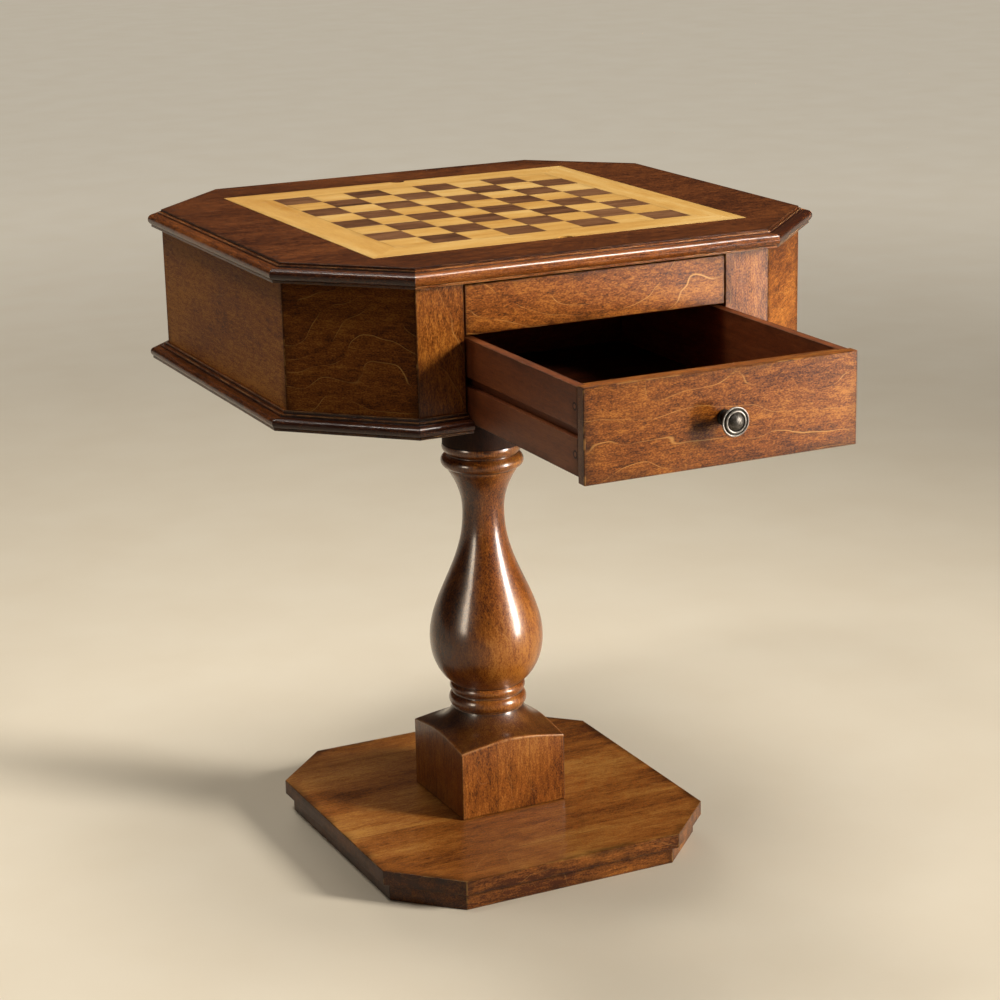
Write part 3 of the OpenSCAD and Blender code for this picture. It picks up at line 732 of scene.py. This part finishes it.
def lip_and_round(out, radius, lip_in, lip_rise, steps):
    """The lower corners of a moulding that stands out by out: a thin lip under a half round."""
    x, y = out - radius, LIP + radius
    lip_out, lip_high = out - lip_in, LIP + lip_rise
    down = math.degrees(math.asin((lip_high - y) / radius))
    corners = arc(x, y, radius, down, 90, steps)
    corners[0] = (*corners[0][:2], 0.2 * MM)
    return [(0, 0, 0), (lip_out, 0, LIP_EASE), (lip_out, lip_high, LIP_EASE), *corners]


def top_section():
    """The top edge moulding: a step and a flat above a half round, over a thin lip."""
    flat_high = LIP + 2 * TOP_ROUND
    return eased([
        *lip_and_round(TOP_OUT, TOP_ROUND, 3.5 * MM, 0.5 * MM, 16),
        (TOP_STEP, flat_high, 0.6 * MM), (TOP_STEP, TOP_TALL, LIP_EASE), (0, TOP_TALL, 0),
    ])


def foot_section():
    """The bottom moulding: two small steps above a half round, over a thin lip."""
    bead_high = LIP + 2 * FOOT_ROUND
    middle_out, step_high = 8.0 * MM, FOOT_TALL - 3 * MM
    return eased([
        *lip_and_round(FOOT_OUT, FOOT_ROUND, 2.5 * MM, 0.6 * MM, 14),
        (middle_out, bead_high, 0.6 * MM), (middle_out, step_high, 0.5 * MM),
        (FOOT_STEP, step_high, 0.5 * MM), (FOOT_STEP, FOOT_TALL, LIP_EASE), (0, FOOT_TALL, 0),
    ])


def add_length(shape, section, low, start, end):
    """One length of moulding; start and end give its ends in plan, for a distance out."""
    span = (end(0) - start(0)).length
    slices = max(2, round(span / SLICE))
    shares = [0.0, 0.8 * MM / span, 2.5 * MM / span]
    shares += [k / slices for k in range(1, slices)]
    shares += [1 - 2.5 * MM / span, 1 - 0.8 * MM / span, 1.0]
    rings = []
    for number, share in enumerate(shares):
        at_mitre = number in (0, len(shares) - 1)
        ring = []
        for out, up, wear in section:
            sway = 0.0 if at_mitre else WOBBLE * min(1.0, out / (4 * MM))
            spot = start(out - sway).lerp(end(out - sway), share)
            spot = Vector((spot.x, spot.y, low + up))
            spot += sway * noise.noise_vector(spot * 90)
            ring.append((spot, GLAZED if at_mitre else wear))
        rings.append(ring)
    shape.sweep(rings)


def moulding(node, section, low, sides, start=None, end=None):
    shape = Shape()
    for side in sides:
        add_length(
            shape, section, low,
            start or (lambda out, k=side: case_corner(k, out)),
            end or (lambda out, k=side: case_corner(k + 1, out)),
        )
    tone = STAIN_AND_SHADE_TONE.get(node, 0.0)
    place_piece(finish_mesh(shape.bm, node + "_piece", boxed=False, tone=tone), node)


def make_mouldings():
    noise.seed_set(WOBBLE_SEED)  # noise vectors start from the clock otherwise
    sides = {"front": FRONT, "right": RIGHT, "back": BACK, "left": LEFT}
    corners = (FRONT_RIGHT, BACK_RIGHT, BACK_LEFT, FRONT_LEFT)
    top, foot = top_section(), foot_section()
    for name, side in sides.items():
        moulding(f"top_moulding_{name}", top, TOP_LOW, [side])
        if side != FRONT:
            moulding(f"bottom_moulding_{name}", foot, FOOT_LOW, [side])
    moulding("top_moulding_corners", top, TOP_LOW, corners)
    moulding("bottom_moulding_corners", foot, FOOT_LOW, corners)

    def at_drawer(side):
        return lambda out: Vector((side * OPENING_X, -CASE_Y - out))

    moulding("bottom_moulding_front_left", foot, FOOT_LOW, [FRONT], end=at_drawer(-1))
    moulding("bottom_moulding_front_right", foot, FOOT_LOW, [FRONT], start=at_drawer(1))


# ---- Pedestal ----

PEDESTAL_LOW, PEDESTAL_HIGH = (corner.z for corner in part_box("pedestal"))
BLOCK_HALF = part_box("pedestal")[1].x
BLOCK_TALL = 84 * MM
SHOULDER_TALL = BLOCK_TALL + 31 * MM
WAIST_R = 42.5 * MM
CONE_SHARE = 0.45
COVE_POWER = 5
BULB_R = 68.3 * MM
BULB_Z = 203 * MM
NECK_R = 25 * MM
NECK_Z = 362 * MM
CAP_CORE_R = 42 * MM
FLARE_TALL = 51 * MM
HEAD_R = 47 * MM
PAINTED_SHADE_RISE = 8 * MM
HEAD_ROUND = 7 * MM
HEAD_ROUND_TALL = 28 * MM
# Each ring's outer radius, its own radius and its height above the base
LOW_RING = (47.0 * MM, 10 * MM, 125 * MM)
MIDDLE_RING = (45.6 * MM, 6 * MM, 141 * MM)
CAP_LOW_RING = (49.3 * MM, 8 * MM, 423 * MM)
CAP_HIGH_RING = (47.6 * MM, 9 * MM, 441 * MM)
RING_EASE = 0.9 * MM
BLOCK_EASE = 0.9 * MM
STAVE = 43.4 * MM  # width of the block's glued boards


def ring_on(ring, floor, above=None):
    """A turned ring's corners, from where it leaves a cylinder of radius floor to where it meets
    it, or the one of radius above, again."""
    out, radius, z = ring
    low, high = (
        math.degrees(math.acos((core - out + radius) / radius)) for core in (floor, above or floor)
    )
    corners = arc(out - radius, z, radius, -low, high, 14)
    corners[0] = (*corners[0][:2], RING_EASE)
    corners[-1] = (*corners[-1][:2], RING_EASE)
    return corners


def turned_section():
    """The turning above the block's shoulder: foot rings, bulb, neck, flare, cap rings, head."""
    steps = 26
    corners = [*ring_on(LOW_RING, WAIST_R), *ring_on(MIDDLE_RING, WAIST_R)]
    bulb_low = MIDDLE_RING[2] + MIDDLE_RING[1]
    core, sweep = 20 * MM, math.radians(62)
    for k in range(steps):
        a = sweep * (1 - k / steps)
        drop = (BULB_Z - bulb_low) * math.sin(a) / math.sin(sweep)
        ease = 0.6 * MM if k == 0 else 0.0
        corners.append((core + (BULB_R - core) * math.cos(a), BULB_Z - drop, ease))
    for k in range(steps * 2):
        t = k / (steps * 2)
        bulge = (1 - math.cos(math.pi * (1 - t) ** 1.12)) / 2
        corners.append((NECK_R + (BULB_R - NECK_R) * bulge, BULB_Z + (NECK_Z - BULB_Z) * t, 0.0))
    for k in range(steps):
        t = k / steps
        corners.append((NECK_R + (CAP_CORE_R - NECK_R) * t * t, NECK_Z + FLARE_TALL * t, 0.0))
    corners += [*ring_on(CAP_LOW_RING, CAP_CORE_R), *ring_on(CAP_HIGH_RING, CAP_CORE_R, HEAD_R)]
    rounded_z = CAP_HIGH_RING[2] + 4 * MM
    for k in range(1, 13):
        a = math.pi / 2 * k / 12
        corners.append((
            HEAD_R - HEAD_ROUND * (1 - math.cos(a)), rounded_z + HEAD_ROUND_TALL * math.sin(a), 0.0,
        ))
    tall = PEDESTAL_HIGH - PEDESTAL_LOW
    corners += [(HEAD_R - HEAD_ROUND, tall, 0.6 * MM), (0, tall, 0.0)]
    foot = SHOULDER_TALL - 0.1 * MM
    path = eased([(0, foot, 0.0), (WAIST_R, foot, 0.0), *corners])
    # Painted shade: under the case the colour darkens from the upper ring upwards
    section = []
    for radius, z, wear in path[2:]:
        under = min(1.0, max(0.0, (z - CAP_HIGH_RING[2]) / PAINTED_SHADE_RISE))
        section.append((radius, z, min(wear, -0.55 * under)))
    return section


def block_outline():
    """The block's plan: a square with its corners just eased, as (x, y, wear) points."""
    ease = BLOCK_EASE
    points = []
    for quarter in range(4):
        turn = Matrix.Rotation(quarter * math.pi / 2, 2)
        run = [math.tan(math.radians(a)) * BLOCK_HALF for a in range(-42, 43, 3)]
        near = BLOCK_HALF - ease
        side = [(-near, -0.5), (-near + 1.6 * MM, 0.0), *((y, 0.0) for y in run)]
        side += [(near - 1.6 * MM, 0.0), (near, -0.5)]
        for y, wear in side:
            spot = turn @ Vector((BLOCK_HALF, y))
            points.append((spot.x, spot.y, wear))
        tip = turn @ Vector((BLOCK_HALF - 0.3 * ease, BLOCK_HALF - 0.3 * ease))
        points.append((tip.x, tip.y, GLAZED))
    return points


def shoulder_z(radius):
    """Height of the shoulder above the base: a cone from the block's corners, then a cove."""
    t = (BLOCK_HALF * math.sqrt(2) - radius) / (BLOCK_HALF * math.sqrt(2) - WAIST_R)
    rise = CONE_SHARE * t + (1 - CONE_SHARE) * t ** COVE_POWER
    return BLOCK_TALL + (SHOULDER_TALL - BLOCK_TALL) * rise


def make_pedestal():
    """One solid: the square block, its coved shoulder and everything turned above it."""
    outline = block_outline()
    ease = BLOCK_EASE
    low = PEDESTAL_LOW
    shape = Shape()
    rings = []
    # Bottom edge and sides of the block, up to the arched edge. The bottom edge is dark with glaze,
    # partly painted shade where the block meets the base.
    side_rows = [(ease, 0.0, GLAZED), (0.0, ease, -0.5), (0.0, 3 * ease, 0.0)]
    for inset, up, wear in side_rows:
        rings.append([
            (Vector((x, y, 0)) * (1 - inset / BLOCK_HALF) + Vector((0, 0, low + up)), min(wear, w))
            for x, y, w in outline
        ])
    arch = [shoulder_z(math.hypot(x, y)) for x, y, _ in outline]
    for share in (0.25, 0.5, 0.75, 1.0):
        rings.append([
            (Vector((x, y, low + 3 * ease + (z - 6 * ease) * share)), w)
            for (x, y, w), z in zip(outline, arch)
        ])
    # The arched edge: rubbed light on its crest, partly a painted highlight, with darker glaze just
    # inside
    arris_rows = [
        (0.0, ease, 0.5), (0.27 * ease, 0.27 * ease, 1.0), (ease, 0.0, 0.5), (3 * ease, 0.0, -0.4),
    ]
    for inset, down, wear in arris_rows:
        ring = []
        for x, y, _ in outline:
            reach = math.hypot(x, y)
            kept = (reach - inset) / reach
            z = shoulder_z(reach - inset) if down == 0.0 else shoulder_z(reach) - down
            ring.append((Vector((x * kept, y * kept, low + z)), wear))
        rings.append(ring)
    # The shoulder, from just inside the arched edge to the waist, darkened all over as painted
    # shade, most in the crease at the waist
    count = 14
    for k in range(1, count + 1):
        ring = []
        for x, y, _ in outline:
            reach = math.hypot(x, y)
            radius = (reach - 3 * ease) + (WAIST_R - reach + 3 * ease) * k / count
            glaze = -0.9 if k == count else -0.65
            spot = Vector((x / reach * radius, y / reach * radius, low + shoulder_z(radius)))
            ring.append((spot, glaze))
        rings.append(ring)
    # The turning, on the same directions round the axis
    section = turned_section()
    for radius, z, wear in section[:-1]:
        rings.append([
            (Vector((x, y, 0)) * (radius / math.hypot(x, y)) + Vector((0, 0, low + z)), wear)
            for x, y, _ in outline
        ])
    made = [[shape.point(*spot) for spot in ring] for ring in rings]
    shape.bridge(made)
    shape.fan(made[0], shape.point((0, 0, low)))
    shape.fan(made[-1], shape.point((0, 0, low + section[-1][1])))
    piece = finish_mesh(shape.bm, "pedestal_piece", grain="z", boxed=False)
    # Its glued boards show on the block's faces only
    points = np.array([vert.co for vert in piece.data.vertices])
    on_block = np.abs(points[:, :2]).max(1) > BLOCK_HALF - 0.6 * MM
    plank = np.where(on_block, STAVE, FAR).astype(np.float32)
    piece.data.attributes["grain_plank"].data.foreach_set("value", plank)
    # The head above the cap rings is dull, and its darker inner wood adds painted shade under the
    # case
    for finish in ("pedestal_wood", "inner_wood"):
        piece.data.materials.append(MATERIALS[finish])
    head_z = low + CAP_HIGH_RING[2] + 3 * MM
    for face in piece.data.polygons:
        face.material_index = int(face.center.z > head_z)
    place_piece(piece, "pedestal")


# ---- Knob, plugs and felt ----

def knob_section():
    """The knob, out from the drawer front: foot flange, waist, flared back, rim, ring and dome."""
    low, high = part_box("knob")
    out = high.y - low.y
    head_r = (high.x - low.x) / 2
    foot_r = 8 * MM
    waist_r = foot_r - 1.3 * MM
    head_y = out - 6.5 * MM
    rim_r, ring_r = 1.05 * MM, 1.25 * MM
    dome_r, dome_tall = 8.8 * MM, 4.2 * MM
    ball_r = (dome_r ** 2 + dome_tall ** 2) / (2 * dome_tall)
    dome_angle = math.degrees(math.asin(dome_r / ball_r))
    rim = arc(head_r - rim_r, head_y + 2.2 * MM - rim_r, rim_r, 0, 175, 18)
    groove = [(head_r - 2 * rim_r, head_y + 0.5 * MM, 0.3 * MM)]
    groove += [(dome_r + 0.6 * MM + 2 * ring_r, head_y + 0.5 * MM, 0.3 * MM)]
    ring = arc(dome_r + 0.4 * MM + ring_r, head_y + 2 * MM, ring_r, 5, 175, 14)
    dome = arc(0, out - ball_r, ball_r, 90 - dome_angle, 90, 14)
    for run, ends in ((rim, (-1,)), (ring, (0, -1)), (dome, (0,))):
        for end in ends:
            run[end] = (*run[end][:2], 0.3 * MM)
    path = eased([
        (0, 0, 0), (foot_r, 0, 0.3 * MM), (foot_r, 2 * MM, 0.6 * MM),
        (foot_r - 0.6 * MM, 3 * MM, 0.4 * MM),
        (waist_r, 3.4 * MM, 0.4 * MM), (waist_r - 0.4 * MM, head_y * 0.45, 0),
        (waist_r, head_y * 0.7, 0), (waist_r + 2.4 * MM, head_y * 0.87, 0),
        (head_r - 1.2 * MM, head_y, 0.4 * MM), *rim, *groove, *ring, *dome,
    ])
    section = []
    for r, y, wear in path:
        if r > dome_r + 0.8 * MM and y > head_y + 1.7 * MM:
            wear = 0.4  # rubbed bright crests of the rim and the ring, partly a painted highlight
        elif y < head_y * 0.9:
            wear = -0.6  # foot and waist darker and duller: painted shade under the head
        section.append((r, y, wear))
    return section


def make_knob():
    low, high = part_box("knob")
    place = Matrix.Translation(((low.x + high.x) / 2, high.y, (low.z + high.z) / 2))
    place = place @ Matrix.Rotation(math.pi / 2, 4, "X")
    shape = Shape()
    shape.turn(knob_section(), place, steps=128)
    place_piece(finish_mesh(shape.bm, "knob_piece", grain="y", boxed=False), "knob")


def make_plugs():
    """Four round plugs over the joint screws, each with a dark ring of old glue and glaze."""
    mesh = frame["nodes"]["drawer_plugs"].data
    points = np.array([v.co for v in mesh.vertices])
    low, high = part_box("drawer_plugs")
    middle = (low + high) / 2
    upper = points[:, 2] >= middle.z
    shape = Shape()
    for level in (points[~upper], points[upper]):
        for side in (-1, 1):
            plug = level[(level[:, 0] - middle.x) * side > 0]
            near, far = plug.min(0), plug.max(0)
            radius, thick = (far[2] - near[2]) / 2, far[0] - near[0]
            section = eased([
                (0, 0, 0), (radius, 0, 0), (radius, thick, 0.25 * MM), (0, thick, 0),
            ])
            section[-1:] = [(radius * 0.62, thick, -1), (radius * 0.5, thick, 0.3), (0, thick, 0.3)]
            section = [(r, z, -1.0 if r > radius * 0.6 else w) for r, z, w in section]
            inner_x = near[0] if side > 0 else far[0]
            place = Matrix.Translation((inner_x, (near[1] + far[1]) / 2, (near[2] + far[2]) / 2))
            place = place @ Matrix.Rotation(side * math.pi / 2, 4, "Y")
            shape.turn(section, place, steps=40)
    place_piece(finish_mesh(shape.bm, "drawer_plugs_piece", grain="y", boxed=False), "drawer_plugs")


def make_felt():
    """The well's lining: one closed sheet, its top slightly uneven and its edges soft."""
    low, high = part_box("well_felt")
    cells, ease = 72, 0.5 * MM
    thick = high.z - low.z
    shape = Shape()
    rings = []

    def outline(inset, up):
        x0, y0, x1, y1 = low.x + inset, low.y + inset, high.x - inset, high.y - inset
        corners = [Vector((x, y, up)) for x, y in ((x0, y0), (x1, y0), (x1, y1), (x0, y1))]
        ends = corners[1:] + corners[:1]
        return [a.lerp(b, k / cells) for a, b in zip(corners, ends) for k in range(cells)]

    for inset, up in ((ease, low.z), (0, low.z + ease), (0.1 * ease, high.z - 0.8 * ease)):
        rings.append([shape.point(spot) for spot in outline(inset, up)])
    shape.bridge(rings)
    shape.bm.faces.new(rings[0])
    grid = {}
    for i in range(cells + 1):
        for j in range(cells + 1):
            x = low.x + ease + (high.x - low.x - 2 * ease) * i / cells
            y = low.y + ease + (high.y - low.y - 2 * ease) * j / cells
            dip = abs(noise.noise(Vector((x * 30, y * 30, 0)))) * 0.25 * thick
            grid[i, j] = shape.point((x, y, high.z - dip))
    for i in range(cells):
        for j in range(cells):
            shape.bm.faces.new((grid[i, j], grid[i + 1, j], grid[i + 1, j + 1], grid[i, j + 1]))
    steps = range(cells)
    edge = [grid[k, 0] for k in steps] + [grid[cells, k] for k in steps]
    edge += [grid[cells - k, cells] for k in steps] + [grid[0, cells - k] for k in steps]
    shape.bridge([rings[-1], edge])
    piece = place_piece(finish_mesh(shape.bm, "well_felt_piece", boxed=False), "well_felt")


# ---- Boards ----

# How the grain runs in the boards that don't have it along their longest side
GRAIN = {
    "base_plate": "x", "base_plinth": "x", "stile_left": "z", "stile_right": "z",
    "glue_blocks": "z", "case_bottom": "x", "well_floor": "x", "top_panel": "x",
    "light_squares": "x", "dark_squares": "x", "drawer_bottom": "x", "board_core": "y",
    "corner_panel_front_left": "level", "corner_panel_front_right": "level",
    "corner_panel_back_left": "level", "corner_panel_back_right": "level",
}
# Width of the boards that a piece is glued up from
PLANK = {"base_plate": 112 * MM, "base_plinth": 112 * MM, "top_panel": 148 * MM}
# How far a board's edges are rounded over
BOARD_EASE = 0.5 * MM
EASE = {
    "light_squares": 0.12 * MM, "dark_squares": 0.12 * MM, "board_border": 0.15 * MM,
    "base_plate": 1.1 * MM, "base_plinth": 1.0 * MM, "top_panel": 0.7 * MM,
    "drawer_front": 1.0 * MM, "false_front": 0.9 * MM, "stile_left": 0.8 * MM,
    "stile_right": 0.8 * MM,
}
# How much of its wood's figure a board shows
FIGURE = {
    "side_panel_left": 0.2, "side_panel_right": 0.4, "corner_panel_front_left": 1.3,
    "stile_left": 0.6, "stile_right": 0.25, "corner_panel_front_right": 0.3,
}
MADE_APART = {"pedestal", "knob", "drawer_plugs", "well_felt"}


def make_boards():
    for node in frame["nodes"]:
        if node in MADE_APART or "moulding" in node:
            continue
        eased_board(
            node, EASE.get(node, BOARD_EASE), grain=GRAIN.get(node, "long"),
            plank=PLANK.get(node, FAR), tone=STAIN_AND_SHADE_TONE.get(node, 0.0), figure=FIGURE.get(node, 1.0),
        )


# ---- Studio ----

FLOOR_R = 40.0
FLOOR_PALE = shades("#ded3bf #e1d7c4")  # as it is seen
FLOOR_DIM = srgb("#6e6353")  # as it lights the object
FLOOR_GLOW = 0.6
LAMPS_REACH = 0.9, 5.0  # from where to where the lamps' light on the floor gives way to its own


def make_floor():
    """A plain pale floor that reaches past every view.

    It throws little light back on the object, and past the lamps' reach it keeps its pale look.
    """
    bm = bmesh.new()
    bmesh.ops.create_circle(bm, cap_ends=True, segments=96, radius=FLOOR_R)
    mesh = bpy.data.meshes.new("floor")
    bm.to_mesh(mesh)
    bm.free()
    floor = bpy.data.objects.new("floor", mesh)
    scene.collection.objects.link(floor)
    g = Graph("floor")
    point = g.make("NewGeometry").outputs["Position"]
    rays = g.make("LightPath").outputs
    seen = g.most(*(rays[f"Is {kind} Ray"] for kind in ("Camera", "Glossy", "Transmission")))
    tone = g.noise(point, 6.0, 3.0)
    pale = g.ramp(tone, [(0.3, FLOOR_PALE[0]), (0.7, FLOOR_PALE[1])])
    far = g.smooth(g.vector("DISTANCE", point, (0.0, 0.0, 0.0)), *LAMPS_REACH)
    glow = g.times(seen, far, FLOOR_GLOW)
    g.set(
        Base_Color=g.mix(seen, FLOOR_DIM, pale), Roughness=0.9, Specular_IOR_Level=0.1,
        Emission_Color=pale, Emission_Strength=glow,
    )
    mesh.materials.append(g.material)


def make_lamp(name, place, target, size, power, colour, spread=180):
    """A soft lamp of size (wide, tall) metres that the camera doesn't see."""
    data = bpy.data.lights.new(name, "AREA")
    data.spread = math.radians(spread)
    data.shape = "RECTANGLE"
    data.size, data.size_y = size
    data.energy = power
    data.color = colour
    lamp = bpy.data.objects.new(name, data)
    aim = Vector(target) - Vector(place)
    lamp.location = place
    lamp.rotation_euler = aim.to_track_quat("-Z", "Y").to_euler()
    lamp.visible_camera = False
    scene.collection.objects.link(lamp)
    return lamp


def make_lights():
    """A key from the front right, fill from the other sides, a sheen on the case's front, and
    highlights for the pedestal, the knob and the mouldings alone.

    The key leaves no highlight, because it would glare on the top when that is seen from behind,
    and the low lamp that gives the sheen stays below the top's height.
    """
    middle, front = (0, -0.1, 0.45), (0.2, -0.3, 0.62)
    pale, warm = (1.0, 0.95, 0.87), (1.0, 0.85, 0.66)
    key = make_lamp("key", (2.9, -3.0, 2.0), middle, (0.8, 1.1), 27, pale, spread=60)
    key.visible_glossy = False
    pedestal, knob = (scene.objects[node + "_piece"] for node in ("pedestal", "knob"))
    mouldings = [piece for piece in scene.objects if "_moulding_" in piece.name]
    gleam = make_lamp("gleam", (2.9, -3.0, 1.35), (0, 0, 0.4), (0.75, 1.7), 340, pale)
    glow = make_lamp("glow", (-3.2, -1.0, 1.3), (0, 0, 0.4), (0.7, 1.7), 70, warm)
    crest = make_lamp("crest", (1.25, -0.82, 3.1), (0, -0.3, 0.75), (0.8, 0.6), 100, pale)
    for lamp, pieces in ((gleam, [pedestal, knob]), (glow, [pedestal]), (crest, mouldings)):
        shone_on = bpy.data.collections.new(lamp.name + "_shines_on")
        for piece in pieces:
            shone_on.objects.link(piece)
        lamp.light_linking.receiver_collection = shone_on
        lamp.visible_diffuse = False
    make_lamp("low", (1.8, -2.02, 0.42), front, (0.5, 0.6), 1.3, pale, spread=28)
    make_lamp("over", (0.15, -0.2, 3.2), (0, 0, 0.7), (1.1, 1.2), 43, pale)
    make_lamp("left", (-1.2, -0.15, 2.9), (-0.3, 0, 0.6), (0.4, 0.5), 17, pale)
    make_lamp("side", (-3.0, -0.25, 1.2), middle, (0.4, 1.7), 3.4, warm)
    make_lamp("rear", (-0.9, 1.5, 3.2), (0, 0, 0.5), (1.2, 1.0), 12, pale)
    behind = make_lamp("behind", (0.6, 3.3, 1.4), middle, (1.4, 1.2), 4, pale, spread=60)
    behind.visible_glossy = False
    world = bpy.data.worlds.new("studio")
    world.use_nodes = True
    tree = world.node_tree
    place = tree.nodes.new("ShaderNodeTexCoord").outputs["Generated"]
    up = tree.nodes.new("ShaderNodeSeparateXYZ")
    tree.links.new(place, up.inputs[0])
    ramp = tree.nodes.new("ShaderNodeValToRGB")
    tree.links.new(up.outputs["Z"], ramp.inputs[0])
    low, high = ramp.color_ramp.elements
    low.position, low.color = 0.2, (0.024, 0.019, 0.014, 1)
    high.position, high.color = 0.95, (0.08, 0.072, 0.062, 1)
    back = tree.nodes["Background"]
    tree.links.new(ramp.outputs[0], back.inputs["Color"])
    back.inputs["Strength"].default_value = 1.0
    scene.world = world
    scene.view_settings.view_transform = "Standard"


make_camera()
make_floor()
make_boards()
make_mouldings()
make_pedestal()
make_knob()
make_plugs()
make_felt()
make_lights()
